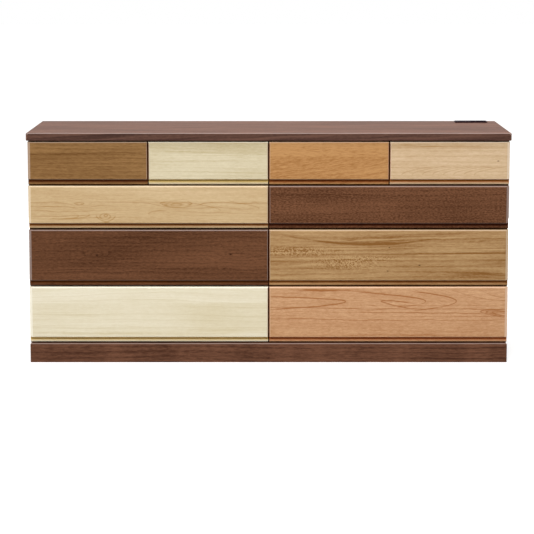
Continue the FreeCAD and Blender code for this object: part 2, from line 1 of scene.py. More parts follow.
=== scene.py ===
"""Looks of a low chest of ten drawers: woods, drawer boxes, slides, outlet, small fixings and the studio."""

import math

import bpy
import numpy as np
from bpy.props import FloatProperty, FloatVectorProperty, IntProperty, PointerProperty
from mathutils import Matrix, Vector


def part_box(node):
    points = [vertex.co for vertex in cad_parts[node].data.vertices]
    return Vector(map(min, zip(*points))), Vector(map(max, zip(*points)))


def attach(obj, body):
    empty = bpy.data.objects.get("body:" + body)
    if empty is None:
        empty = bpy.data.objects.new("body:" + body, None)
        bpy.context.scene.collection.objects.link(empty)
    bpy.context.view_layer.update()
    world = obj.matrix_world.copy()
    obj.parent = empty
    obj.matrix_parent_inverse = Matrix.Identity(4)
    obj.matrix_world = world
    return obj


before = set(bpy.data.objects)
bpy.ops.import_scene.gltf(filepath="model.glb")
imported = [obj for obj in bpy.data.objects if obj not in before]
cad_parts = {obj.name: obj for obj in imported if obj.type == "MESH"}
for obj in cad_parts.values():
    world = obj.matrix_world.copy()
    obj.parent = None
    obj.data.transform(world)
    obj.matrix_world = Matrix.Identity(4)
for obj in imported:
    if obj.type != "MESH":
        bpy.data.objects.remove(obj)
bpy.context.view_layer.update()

bl_info = {
    "name": "Low Chest Looks",
    "version": (1, 0, 0),
    "blender": (4, 5, 0),
    "location": "View3D > Sidebar > Chest",
    "description": "Dresses the packed low chest of drawers in its woods, metal and plastic",
    "category": "Object",
}

MM = 0.001
SMALL = [f"top_drawer_{number}" for number in (1, 2, 3, 4)]
WIDE = [f"{row}_{side}_drawer" for row in ("upper", "middle", "lower") for side in ("left", "right")]
DRAWERS = SMALL + WIDE

# Finger pulls: ceiling over the face's foot, depths behind the front and drops under the ceiling of the
# painted shadow in the recess
PULL_HEIGHT = 0.017
PULL_EASE = 0.001
PULL_DEPTHS = (0.003, 0.006)
PULL_DROPS = (-0.0145, -0.0065)
PULL_CLEAR = 0.002

# Painted highlights on the arrises, a paler colour standing in for the lamps' sheen on them: depths behind
# the front plane, share of the paler colour, its gain and its sheen
FACE_ARRIS = 0.0037
TOP_ARRIS = 0.0017
PLINTH_ARRIS = 0.0027
ARRIS_START = (0.0002, 0.0012)
ARRIS_FADE = 1.5
ARRIS_SHARE = 0.85
ARRIS_GAIN = 1.1
ARRIS_SHEEN = 0.16
TOP_SHEEN = 0.30

# Front edge of the top board: places behind its front plane, height of its round, and the painted shade that
# darkens its front face against its lit upper face
TOP_ARRIS_SET = 0.0003
TOP_EDGE_SET = 0.0005
TOP_ROUND = 0.0045
EDGE_FADE = 0.002
TOP_EDGE_SHADE = (0.63, 0.71, 0.86, 1.0)

# Painted shade in the slits at the inner ends of the faces, standing in for the shadow between two faces:
# reach from the chest's middle, depths behind the front, colour
SLIT_REACH = 0.70
SLIT_DEPTHS = (0.0019, 0.0028, 0.0038, 0.0046)
SLIT_PAINTED_SHADE = (0.44, 0.20, 0.08, 1.0)

# Grain noise in steps per metre along and across, some with detail and roughness, and the levels it starts at
SLOW_GRID = (1.6, 6.0)
QUICK_GRID = (9.0, 45.0)
PATCH_GRID = (2.2, 16.0)
PATCH_OFFSET = 3.1
WANDER_GRID = (0.45, 0.5)
WEIGHT_GRID = (0.61, 1.6, 3.0)
GRIT_GRID = (260.0, 320.0)
FIBRE = ((12.0, 640.0), 3.0, 0.6)
PORE = ((60.0, 900.0), 1.0, 0.5)
FLECK = ((36.0, 300.0), 2.0, 0.6)
WEIGHT_LEVELS = (0.25, 0.6)
PORE_LEVELS = (0.62, 0.72)
FLECK_LEVELS = (0.54, 0.68)
FLECK_PATCH = (0.35, 0.65)
STREAK_PATCH = (0.3, 0.7)
STREAK_SHARES = (1.5, 0.25)
GRIT_LEVEL = 0.46
SPECKLE = (3.0, 0.7)
STREAK = (3.0, 0.6)

# Run of the grain: jumps at a seam in metres and rings, lean of the rings into the board, waver in metres
SEAM_JUMP = 1.37
RING_JUMP = 0.37
RING_LEAN = 0.45
LATE_PEAK = 0.92
BAND_REST = 0.15
WARP = 0.004
STREAK_WAVE = 0.006
ARC_WAVE = 0.005
LOOP_WAVE = 0.004

# Strengths and shares of the marks in the wood
MEAN_DARK = 0.34
FIBRE_DARK = 0.5
GRIT_DARK = 5.0
LINE_WIDTH = 1.5
ARM_TURN = 0.1
ARC_FADE = (0.6, 1.05)
GLEAM = 1.9
KNOT_LENGTH = 1.7
KNOT_SHARE = (0.30, 0.22, 0.15)

# Surface of the wood: depth of its relief, then shares of fibre, late wood and pores in it and in roughness
WOOD_RELIEF = 0.00004
FIBRE_HEIGHT = 0.6
LATE_HEIGHT = 0.4
PORE_DEPTH = 0.8
FIBRE_ROUGH = 0.10
LATE_ROUGH = 0.03

# Metal, plastic and rubber: cloud steps per metre along X, Y and Z, two display colours, roughness, its drift
CLOUDS = {
    "zinc_steel": ((60.0, 35.0, 60.0), (0.55, 0.56, 0.57), (0.64, 0.64, 0.63), 0.42, 0.1),
    "screw_steel": ((400.0, 400.0, 400.0), (0.66, 0.64, 0.58), (0.78, 0.75, 0.66), 0.3, 0.15),
    "black_plastic": ((40.0, 40.0, 40.0), (0.12, 0.07, 0.10), (0.16, 0.10, 0.13), 0.6, 0.1),
    "clear_rubber": ((300.0, 300.0, 300.0), (0.74, 0.73, 0.70), (0.82, 0.81, 0.78), 0.4, 0.1),
}
METAL_RELIEF = 0.00003
ZINC_LINES = (900.0, 14.0, 900.0)
ZINC_ROUGH = 0.12
PLASTIC_GRAIN = (2600.0, 2600.0, 2600.0)
PLASTIC_GLOSS = 0.02

# Side boards of the drawer boxes: middle and half thickness with some room, and the split between the rows
BOARD_MIDDLE = 0.0057
BOARD_REACH = 0.007
ROW_SPLIT = 0.004

# Small fixings: shares of a head's rim taken by its cross recess, places and heights
CROSS_WIDTH = 0.13
CROSS_REACH = 0.62
PAN_FOOT = 0.35
BOX_WALL = 0.012
FACE_SCREW_INSET = 0.075
FACE_SCREW_SHARES = (0.36, 0.76)
FACE_SCREW_RISE = 0.0024
FACE_SCREW_CROSS = 0.0012
SLIDE_WIDTH = 0.0125
SLIDE_WEB = 0.0012
SLIDE_HOLES = (0.035, 0.163, 0.291)
SLIDE_SCREW_RISE = 0.0016
SLIDE_SCREW_CROSS = 0.0008
WALL_SCREW_RISE = 0.0005
PINS_A_PANEL = 7
PIN_INSET = 0.05
PIN_RISE = 0.0006
OUTER_END = 0.7
BUMPER_INSET = 0.01
BUMPER_DROP = 0.03
BUMPER_RISE = 0.0012

# Studio lamps: place, target and size, with their powers in the settings
LAMPS = {
    "overhead": ((0.0, -0.6, 3.0), (0.0, -0.1, 0.7), (2.3, 0.65)),
    "front": ((-0.4, -4.7, 3.7), (0.0, 0.0, 0.4), (3.0, 0.7)),
    "left": ((-3.2, 0.1, 1.0), (0.0, 0.0, 0.4), (2.4, 1.7)),
    "right": ((3.2, 0.1, 1.0), (0.0, 0.0, 0.4), (2.4, 1.7)),
    "rear": ((0.0, 2.8, 1.5), (0.0, 0.0, 0.72), (4.2, 1.2)),
    "back": ((0.0, 3.2, 0.36), (0.0, 0.0, 0.36), (3.4, 0.6)),
}

# Floor: half its side, the room left inside the plinth, grain and tone of the paper, and glow by distance
FLOOR_REACH = 30.0
FLOOR_INSET = 0.01
PAPER_GRID = 40.0
PAPER_GRAIN = 0.02
PAPER_TONE = 0.44
PAPER_ROUGH = 0.9
GLOW_NEAR = 0.68
GLOW_GROWTH = 0.30
GLOW_REACH = (1.0, 3.0)


# Settings that a user would change
def colour(name, note, rgb):
    return FloatVectorProperty(
        name=name, description=note, subtype="COLOR_GAMMA", size=3, min=0, max=1, default=rgb)


def length(name, note, default):
    return FloatProperty(
        name=name, description=note, subtype="DISTANCE", unit="LENGTH", min=0, default=default)


def power(name, note, default):
    return FloatProperty(name=name, description=note, unit="POWER", min=0, default=default)


class ChestWoods(bpy.types.PropertyGroup):
    """Mean display colours of the woods."""
    brown: colour("Brown face", "Small drawer 1", (0.519, 0.388, 0.239))
    cream: colour("Cream face", "Small drawer 2", (0.768, 0.728, 0.626))
    orange: colour("Orange face", "Small drawer 3", (0.664, 0.497, 0.318))
    light_beige: colour("Light beige face", "Small drawer 4", (0.757, 0.664, 0.546))
    beige: colour("Beige face", "Upper left drawer", (0.734, 0.645, 0.505))
    umber: colour("Umber face", "Upper right drawer", (0.400, 0.264, 0.181))
    chestnut: colour("Chestnut face", "Middle left drawer", (0.366, 0.238, 0.159))
    tan: colour("Tan face", "Middle right drawer", (0.639, 0.519, 0.365))
    pale_cream: colour("Pale cream face", "Lower left drawer", (0.829, 0.801, 0.723))
    salmon: colour("Salmon face", "Lower right drawer", (0.745, 0.591, 0.448))
    walnut: colour("Walnut", "Side panels and plinth", (0.393, 0.260, 0.191))
    walnut_top: colour("Walnut top", "Top board", (0.421, 0.275, 0.204))
    # Carcass: dark stained wood, made darker still as painted shade where it shows in the gaps between the
    # faces
    carcass: colour("Carcass wood", "Partitions, shelves, rails and bottom", (0.22, 0.09, 0.03))
    box: colour("Drawer wood", "Boards of the drawer boxes", (0.86, 0.76, 0.60))
    plywood: colour("Plywood", "Back panels and drawer bottoms", (0.80, 0.68, 0.51))
    runner: colour("Runner wood", "Hanging runners of the small drawers", (0.72, 0.58, 0.42))


class ChestFixings(bpy.types.PropertyGroup):
    """Sizes of the small fixings."""
    screw_head: length("Screw head", "Diameter of the screws that hold the faces", 0.0085)
    slide_screw_head: length("Slide screw head", "Diameter of the screws in the slides", 0.0065)
    pin_head: length("Pin head", "Diameter of the pins in the back panels", 0.0034)
    bumper: length("Bumper", "Diameter of the soft dots behind the faces", 0.008)
    sides: IntProperty(name="Sides", description="Steps round a turned fixing", min=8, max=64, default=24)


class ChestStudio(bpy.types.PropertyGroup):
    """Light and camera."""
    overhead: power("Overhead", "Power of the light above", 46)
    front: power("Front", "Power of the high front light", 285)
    left: power("Left", "Power of the light on the left", 38)
    right: power("Right", "Power of the light on the right", 25)
    rear: power("Rear", "Power of the high light behind", 5)
    back: power("Back", "Power of the low light behind", 80)
    fill: FloatProperty(name="Fill", description="Strength of the even light all round", min=0, default=0.04)
    distance: length("Camera distance", "Camera's distance in front of the chest's middle", 6.2329)
    height: length("Camera height", "Camera's height over the floor", 1.259)
    pitch: FloatProperty(
        name="Pitch", description="Downward look", subtype="ANGLE", default=math.radians(7.481))
    lens: FloatProperty(name="Lens", description="Focal length", unit="CAMERA", default=131.9)
    shift_x: FloatProperty(name="Shift X", description="Sideways shift of the picture", default=-0.00315)
    shift_y: FloatProperty(name="Shift Y", description="Upward shift of the picture", default=-0.1)


# Colours
def linear(rgb):
    """Display colour to light: the usual two-part sRGB curve, one value at a time."""
    rgb = np.array(tuple(rgb))
    return np.where(rgb <= 0.04045, rgb / 12.92, ((rgb + 0.055) / 1.055) ** 2.4)


def opaque(light):
    """The four numbers of a colour socket, none above 1."""
    return (*np.minimum(light, 1.0), 1.0)


# Shader maths as expressions
class Wire:
    """An output socket. Arithmetic on wires and numbers adds Math nodes to its tree."""

    def __init__(self, finish, socket):
        self.finish = finish
        self.socket = socket

    def maths(self, operation, *rest):
        inputs = dict(enumerate((self, *rest)))
        return self.finish.add("ShaderNodeMath", 0, {"operation": operation}, inputs)

    def swapped(self, operation, first):
        return self.finish.add("ShaderNodeMath", 0, {"operation": operation}, {0: first, 1: self})

    def __add__(self, other):
        return self.maths("ADD", other)

    def __sub__(self, other):
        return self.maths("SUBTRACT", other)

    def __rsub__(self, other):
        return self.swapped("SUBTRACT", other)

    def __mul__(self, other):
        return self.maths("MULTIPLY", other)

    def __truediv__(self, other):
        return self.maths("DIVIDE", other)

    def __rtruediv__(self, other):
        return self.swapped("DIVIDE", other)

    def __pow__(self, other):
        return self.maths("POWER", other)

    def __rpow__(self, other):
        return self.swapped("POWER", other)

    def __neg__(self):
        return self.maths("MULTIPLY", -1.0)

    __radd__ = __add__
    __rmul__ = __mul__

    def step(self, low, high):
        """0 below low, 1 above high, smooth between."""
        inputs = {"Value": self, "From Min": low, "From Max": high}
        return self.finish.add("ShaderNodeMapRange", "Result", {"interpolation_type": "SMOOTHSTEP"}, inputs)

    def hump(self, low, low_full, high_full, high):
        """0 below low and above high, 1 between the two full levels, smooth between."""
        return self.step(low, low_full) * (1 - self.step(high_full, high))

    def above(self, level):
        return self.maths("GREATER_THAN", level)

    def near(self, middle, reach):
        return self.maths("COMPARE", middle, reach)

    def fraction(self):
        return self.maths("FRACT")

    def whole(self):
        return self.maths("FLOOR")

    def exponent(self):
        return self.maths("EXPONENT")

    def clamped(self):
        return self.maths("MAXIMUM", 0.0).maths("MINIMUM", 1.0)


class Nodes:
    """A node tree under construction."""

    def __init__(self, tree):
        self.tree = tree

    def feed(self, socket, value):
        if isinstance(value, Wire):
            self.tree.links.new(value.socket, socket)
        else:
            socket.default_value = value

    def add(self, kind, output, settings, inputs):
        """Any node: its type, the output wanted, its settings, then its sockets' values or wires."""
        node = self.tree.nodes.new(kind)
        for key, value in settings.items():
            setattr(node, key, value)
        for key, value in inputs.items():
            self.feed(node.inputs[key], value)
        return Wire(self, node.outputs[output])

    def place(self):
        """X, Y and Z of the surface point, in metres."""
        spot = self.add("ShaderNodeTexCoord", "Object", {}, {})
        first = self.add("ShaderNodeSeparateXYZ", 0, {}, {0: spot})
        return [Wire(self, socket) for socket in first.socket.node.outputs]

    def vector(self, x, y, z):
        return self.add("ShaderNodeCombineXYZ", 0, {}, {0: x, 1: y, 2: z})

    def grey(self, level):
        return self.add("ShaderNodeCombineColor", 0, {}, {0: level, 1: level, 2: level})

    def noise(self, x, y, z, detail=2.0, rough=0.5):
        """Noise between 0 and 1 at a point whose parts are already scaled."""
        inputs = {"Vector": self.vector(x, y, z), "Scale": 1.0, "Detail": detail, "Roughness": rough}
        return self.add("ShaderNodeTexNoise", 0, {}, inputs)

    def mix(self, share, first, second, blend="MIX"):
        """A colour between two colours; wires or four numbers each."""
        settings = {"data_type": "RGBA", "blend_type": blend}
        return self.add("ShaderNodeMix", 2, settings, {0: share, 6: first, 7: second})

    def bump(self, height, depth):
        return self.add("ShaderNodeBump", 0, {}, {"Height": height, "Distance": depth, "Strength": 1.0})

    def seen(self):
        """1 for rays of the camera, of gloss and through glass, which meet the white studio, else 0."""
        camera = self.add("ShaderNodeLightPath", "Is Camera Ray", {}, {})
        outputs = camera.socket.node.outputs
        gloss = Wire(self, outputs["Is Glossy Ray"])
        glass = Wire(self, outputs["Is Transmission Ray"])
        return (camera + gloss + glass).clamped()


class Finish(Nodes):
    """A node material under construction, ending in its Principled shader."""

    def __init__(self, name):
        self.material = bpy.data.materials.new(name)
        self.material.use_nodes = True
        super().__init__(self.material.node_tree)
        self.shader = self.tree.nodes["Principled BSDF"]

    def surface(self, **values):
        for key, value in values.items():
            self.feed(self.shader.inputs[key.replace("_", " ")], value)
        return self.material


# Figure that a wood has unless it says otherwise
PLAIN = {
    "seed": 0.0, "turn": "x", "rough": 0.36, "gloss": 0.07, "light": 1.22, "late": (0.66, 0.56, 0.44),
    "pitch": 12.0, "sway": 14.0, "ripple": 2.0, "wander": 1.0, "slant": 0.0, "start": 0.35, "rings": 0.4,
    "streak": 1.0, "streak_grid": (2.4, 150.0), "speckle": 0.8, "speckle_grid": (70.0, 280.0),
    "blotch": 0.6, "blotch_grid": (3.0, 11.0), "flecks": 0.0, "pores": 0.0,
    "band": None, "seams": (), "eyes": (), "knots": (), "streaks": (), "gleams": (), "arcs": (), "loops": (),
    "grit": (), "edge": None, "arris": None, "pull": None, "slit_top": 0.0, "pull_shadow": (0.46, 0.22, 0.08),
}

# Figure of each wood. Ring pitch, sway, ripple, places and sizes of marks are in millimetres, strengths are
# near 1, and grids are noise steps per metre along and across. Light and late are gains of the mean colour in
# the pale and the late wood, start is where late wood begins in a ring, and pull_shadow is the painted shadow
# inside the finger pull. A band is four heights at which rings fade in and out. A seam is a height and the
# tone above.
# An eye is x, z, half length, half height and rings. A knot is x, z and radius. A streak, or a pale gleam, is
# x, z, half length, half height, rise at its ends and strength. An arc is x and z of its tip, reach, half
# height, tilt, and the strengths of its upper and lower arms. A loop or a spot of grit is x, z, half length,
# half height and strength. The operators add, in metres, edge (front plane and the colour of the painted
# shade on the top board's front face), arris (front plane, depth, painted sheen and lowest height of
# the painted highlight), the pull (height of its ceiling) and slit_top, where the painted shade in the slits
# ends.
WOODS = {
    "brown": {
        "seed": 1.3, "pitch": 13.0, "rings": 0.25, "start": 0.1, "streak": 1.3, "streak_grid": (3.0, 220.0),
        "speckle": 1.5, "speckle_grid": (60.0, 320.0), "blotch": 0.9, "late": (0.58, 0.48, 0.36),
        "seams": ((658.7, -0.22),),
        "streaks": ((-640.0, 655.0, 150.0, 3.5, 0.0, 0.55), (-520.0, 607.0, 90.0, 3.0, 2.0, 0.25)),
    },
    "cream": {
        "seed": 2.7, "pitch": 15.0, "rings": 0.35, "start": 0.7, "sway": 22.0, "wander": 3.0, "streak": 0.5,
        "speckle": 0.8, "blotch": 1.1, "late": (0.80, 0.72, 0.54), "pull_shadow": (1.0, 0.80, 0.35),
        # The darker board above this seam is partly a real seam and partly painted shadow under the top
        # board's overhang
        "seams": ((656.0, 0.22),),
    },
    "orange": {
        "seed": 3.9, "pitch": 16.0, "rings": 0.15, "streak": 0.9, "streak_grid": (6.0, 240.0), "speckle": 2.3,
        "speckle_grid": (46.0, 300.0), "pores": 0.4, "blotch": 0.7, "slant": -0.14,
        "late": (0.70, 0.53, 0.36), "seams": ((647.0, -0.24),),
    },
    "light_beige": {
        "seed": 5.1, "pitch": 14.0, "rings": 0.22, "start": 0.6, "ripple": 3.0, "wander": 2.5, "streak": 0.5,
        "speckle": 0.9, "blotch": 0.8, "late": (0.76, 0.62, 0.42), "pull_shadow": (0.63, 0.30, 0.10),
        "seams": ((633.7, -0.14), (670.0, 0.22)),
        "knots": ((709.0, 633.0, 1.6),),
        "arcs": tuple((412.0 + 32.0 * k, 590.0, -130.0, 30.0, 0.0, 0.34, 0.0) for k in range(8)),
        "streaks": ((430.0, 683.0, 36.0, 3.0, 0.0, 0.4), (500.0, 679.0, 30.0, 2.0, 0.0, 0.35)),
    },
    "beige": {
        "seed": 6.4, "pitch": 13.0, "rings": 0.6, "start": 0.74, "ripple": 8.0, "wander": 2.0, "streak": 0.5,
        "speckle": 0.7, "blotch": 0.5, "late": (0.74, 0.56, 0.34), "band": (380.0, 400.0, 505.0, 530.0),
        "seams": ((507.0, -0.10),),
        "eyes": ((-285.0, 498.0, 60.0, 10.0, 2.4), (-585.0, 499.0, 30.0, 7.0, 1.8)),
        "loops": ((-505.0, 463.0, 5.0, 3.5, 0.5), (-507.0, 460.0, 16.0, 9.0, 0.4),
                  (-285.0, 498.0, 16.0, 4.0, 0.35), (-281.0, 497.0, 38.0, 9.0, 0.3),
                  (-587.0, 500.0, 9.0, 3.5, 0.3)),
        "arcs": ((-534.0, 462.0, -56.0, 26.0, 0.0, 0.0, 0.5), (-476.0, 462.0, 50.0, 26.0, 0.0, 0.0, 0.5),
                 (-556.0, 466.0, 100.0, 24.0, 0.1, 0.1, 0.45), (-590.0, 462.0, 80.0, 18.0, 0.1, 0.1, 0.4),
                 (-372.0, 468.0, -60.0, 18.0, 0.1, 0.4, 0.1), (-330.0, 500.0, -90.0, 16.0, 0.0, 0.3, 0.3),
                 (-150.0, 478.0, 120.0, 18.0, 0.1, 0.35, 0.1), (-30.0, 486.0, 110.0, 14.0, 0.1, 0.35, 0.2)),
    },
    "umber": {
        "seed": 7.7, "pitch": 18.0, "rings": 0.2, "streak": 0.6, "speckle": 3.0,
        "speckle_grid": (130.0, 300.0), "pores": 0.4, "blotch": 1.6, "blotch_grid": (2.2, 7.0), "light": 1.4,
        "late": (0.50, 0.43, 0.36), "gloss": 0.04,
        "streaks": ((115.0, 482.0, 120.0, 24.0, 0.0, -0.38), (400.0, 525.0, 170.0, 26.0, 0.0, 0.2),
                    (690.0, 470.0, 70.0, 26.0, 0.0, -0.25)),
    },
    "chestnut": {
        "seed": 8.2, "pitch": 13.0, "rings": 0.3, "ripple": 7.0, "wander": 2.0, "streak": 0.4, "speckle": 1.8,
        "speckle_grid": (90.0, 300.0), "flecks": 0.3, "pores": 0.4, "blotch": 1.2, "blotch_grid": (2.0, 7.0),
        "light": 1.4, "late": (0.48, 0.41, 0.34), "gloss": 0.04, "pull_shadow": (0.78, 0.54, 0.17),
        "seams": ((300.0, -0.10),),
        "eyes": ((-534.0, 339.0, 34.0, 13.0, 2.2), (-110.0, 341.0, 44.0, 14.0, 2.4)),
        "knots": ((-534.0, 339.0, 2.2), (-118.0, 342.0, 2.5)),
        "streaks": ((-560.0, 292.0, 110.0, 2.5, 3.0, 0.3), (-220.0, 298.0, 130.0, 2.0, -3.0, 0.3),
                    (-100.0, 344.0, 22.0, 1.6, 0.0, 0.4), (-515.0, 337.0, 24.0, 2.0, 0.0, 0.3)),
        "gleams": ((-166.0, 324.0, 15.0, 1.8, 6.0, 0.6), (-176.0, 328.0, 8.0, 1.8, 4.0, 0.5),
                   (-52.0, 331.0, 9.0, 2.0, -6.0, 0.6), (-40.0, 328.0, 8.0, 1.8, -4.0, 0.5),
                   (-98.0, 340.0, 16.0, 1.8, 0.0, 0.6), (-274.0, 394.0, 22.0, 1.6, 0.0, 0.5),
                   (-590.0, 331.0, 12.0, 1.8, 4.0, 0.4), (-330.0, 368.0, 60.0, 1.6, 8.0, 0.25),
                   (-440.0, 322.0, 50.0, 1.6, -6.0, 0.25)),
    },
    "tan": {
        "seed": 9.5, "pitch": 19.0, "rings": 0.3, "start": 0.55, "sway": 20.0, "streak": 1.5, "speckle": 1.1,
        "blotch": 1.1, "light": 1.26, "late": (0.60, 0.41, 0.22), "pull_shadow": (0.62, 0.36, 0.15),
        "knots": ((469.0, 307.0, 1.9), (370.0, 289.0, 1.5), (375.0, 363.0, 1.4)),
        "streaks": ((310.0, 372.0, 200.0, 2.6, 18.0, 0.9), (300.0, 380.0, 200.0, 8.0, 14.0, 0.35),
                    (640.0, 382.0, 120.0, 12.0, -4.0, 0.2), (252.0, 386.0, 10.0, 1.5, 0.0, 0.6),
                    (90.0, 318.0, 130.0, 2.5, 4.0, 0.4), (420.0, 334.0, 170.0, 2.0, 5.0, 0.4),
                    (620.0, 345.0, 130.0, 2.0, 2.0, 0.35), (410.0, 360.0, 50.0, 2.0, 0.0, 0.4),
                    (150.0, 297.0, 150.0, 2.2, -3.0, 0.4), (630.0, 278.0, 100.0, 10.0, 0.0, 0.35)),
        "grit": ((83.0, 350.0, 110.0, 12.0, 1.0), (240.0, 315.0, 90.0, 17.0, 0.9),
                 (330.0, 330.0, 60.0, 6.0, 0.6)),
    },
    "pale_cream": {
        "seed": 10.6, "pitch": 21.0, "rings": 0.18, "start": 0.6, "sway": 24.0, "wander": 2.5, "streak": 0.4,
        "speckle": 0.5, "blotch": 0.6, "late": (0.86, 0.77, 0.54), "pull_shadow": (0.95, 0.70, 0.30),
        "seams": ((187.6, -0.10),),
        "streaks": ((-520.0, 92.0, 260.0, 4.0, 4.0, 0.3), (-560.0, 108.0, 200.0, 2.5, 2.0, 0.3),
                    (-130.0, 102.0, 120.0, 5.0, 2.0, 0.3), (-600.0, 150.0, 120.0, 2.5, 3.0, 0.25),
                    (-138.0, 146.0, 135.0, 38.0, 0.0, 0.12)),
    },
    "salmon": {
        "seed": 11.8, "pitch": 12.0, "rings": 1.0, "start": 0.72, "sway": 10.0, "ripple": 5.0, "streak": 0.5,
        "speckle": 1.2, "blotch": 0.6, "late": (0.66, 0.44, 0.27), "pull_shadow": (0.71, 0.32, 0.12),
        "band": (122.0, 142.0, 172.0, 184.0),
        "arcs": ((239.0, 192.0, 270.0, 22.0, -0.02, 0.9, 0.8), (352.0, 194.0, -105.0, 10.0, 0.16, 0.9, 0.7),
                 (489.0, 193.0, 245.0, 33.0, 0.0, 0.9, 0.3), (585.0, 194.0, 150.0, 32.0, 0.0, 0.9, 0.6),
                 (662.0, 162.0, -80.0, 13.0, 0.1, 0.6, 0.5), (680.0, 160.0, -70.0, 10.0, 0.1, 0.6, 0.5),
                 (698.0, 158.0, -60.0, 8.0, 0.1, 0.6, 0.5)),
        "streaks": ((150.0, 229.0, 45.0, 2.6, 0.0, 1.3), (200.0, 228.0, 70.0, 2.6, 0.0, 0.5),
                    (735.0, 197.0, 145.0, 1.3, 26.0, 0.6), (735.0, 208.0, 62.0, 1.3, 15.0, 0.5),
                    (420.0, 86.0, 260.0, 3.0, 0.0, 0.3)),
    },
    "walnut_top": {
        "seed": 12.4, "pitch": 22.0, "rings": 0.6, "start": 0.2, "sway": 24.0, "streak": 2.0, "speckle": 1.6,
        "blotch": 0.8, "slant": -0.05, "late": (0.46, 0.40, 0.38), "rough": 0.55, "gloss": 0.12,
    },
    "walnut_plinth": {
        "seed": 13.9, "pitch": 16.0, "streak": 1.2, "speckle": 1.8, "speckle_grid": (44.0, 200.0),
        "pores": 0.4, "blotch": 1.3, "blotch_grid": (8.0, 3.0), "light": 1.35, "late": (0.48, 0.41, 0.37),
    },
    "walnut_side": {
        "seed": 14.6, "pitch": 26.0, "rings": 0.55, "start": 0.2, "sway": 80.0, "speckle": 1.4, "pores": 0.4,
        "blotch": 0.7, "late": (0.50, 0.44, 0.40), "turn": "z",
    },
    "carcass": {"seed": 15.3, "rough": 0.6, "gloss": 0.04},
    "plywood": {
        "seed": 16.1, "pitch": 34.0, "sway": 44.0, "start": 0.5, "pores": 0.4, "rough": 0.55, "turn": "flat",
    },
    "box": {"seed": 17.8, "pitch": 10.0, "rough": 0.5, "late": (0.78, 0.68, 0.52), "turn": "box"},
    "runner": {"seed": 18.2, "pitch": 8.0, "rough": 0.5, "turn": "y"},
}


# Marks in the wood, at places given in millimetres
def bell(along, across, spot):
    """A smooth hill, exp(-(dx / length)^2 - (dz / height)^2)."""
    x, z, half_length, half_height = (value * MM for value in spot)
    wide = (along - x) / half_length
    tall = (across - z) / half_height
    return (-(wide * wide + tall * tall)).exponent()


def bent(along, across, spot):
    """A thin hill whose line rises towards its ends by a given height, as (dx / length)^2 does."""
    x, z, half_length, half_height, rise = spot
    wide = (along - x * MM) / (half_length * MM)
    return bell(along, across - wide * wide * (rise * MM), (x, z, half_length, half_height))


def arc(along, across, spot):
    """A thin line on a parabola that lies on its side, t = (dz / height)^2 where t is the share of its reach
    behind the tip. Its distance is the mismatch over the slope, so the line keeps its width."""
    tip, z, reach, half_height, tilt, upper, lower = spot
    back = (tip * MM - along) / MM
    share = back / reach
    tall = ((across - z * MM) / MM - back * tilt) / half_height
    lean = tall * (2 / half_height)
    steep = (lean * lean + 1 / reach ** 2) ** 0.5
    miss = (share - tall * tall) / (steep * LINE_WIDTH)
    arm = tall.step(-ARM_TURN, ARM_TURN) * (upper - lower) + lower
    return (-(miss * miss)).exponent() * arm * (1 - share.step(*ARC_FADE))


def loop(along, across, spot):
    """A thin line on an ellipse, where r = ((dx / length)^2 + (dz / height)^2) ^ 0.5 is 1."""
    x, z, half_length, half_height = (value * MM for value in spot)
    wide = (along - x) / half_length
    tall = (across - z) / half_height
    miss = ((wide * wide + tall * tall) ** 0.5 - 1.0) * (half_height / (LINE_WIDTH * MM))
    return (-(miss * miss)).exponent()


# Wood
def side_boards(x, z):
    """1 on the side boards of the drawer boxes and 0 elsewhere, from the boxes' own corners."""
    masks = []
    for names in (SMALL, WIDE[:2]):
        boxes = [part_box(f"{name}_box") for name in names]
        places = [place for low, high in boxes for place in (low[0] + BOARD_MIDDLE, high[0] - BOARD_MIDDLE)]
        masks.append(sum(x.near(place, BOARD_REACH) for place in places))
    upper = z.above(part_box(f"{SMALL[0]}_box")[0][2] - ROW_SPLIT)
    return upper * masks[0] + (1 - upper) * masks[1]


def grain_axes(finish, turn):
    """Distances along the grain, across it on the show face, and into the board."""
    x, y, z = finish.place()
    if turn == "z":
        return z, y, x
    if turn == "y":
        return y, x, z
    if turn == "flat":
        return x, y + z, z - y
    if turn == "box":
        sides = side_boards(x, z)
        return x + (y - x) * sides, z, y + (x - y) * sides
    return x, z, y


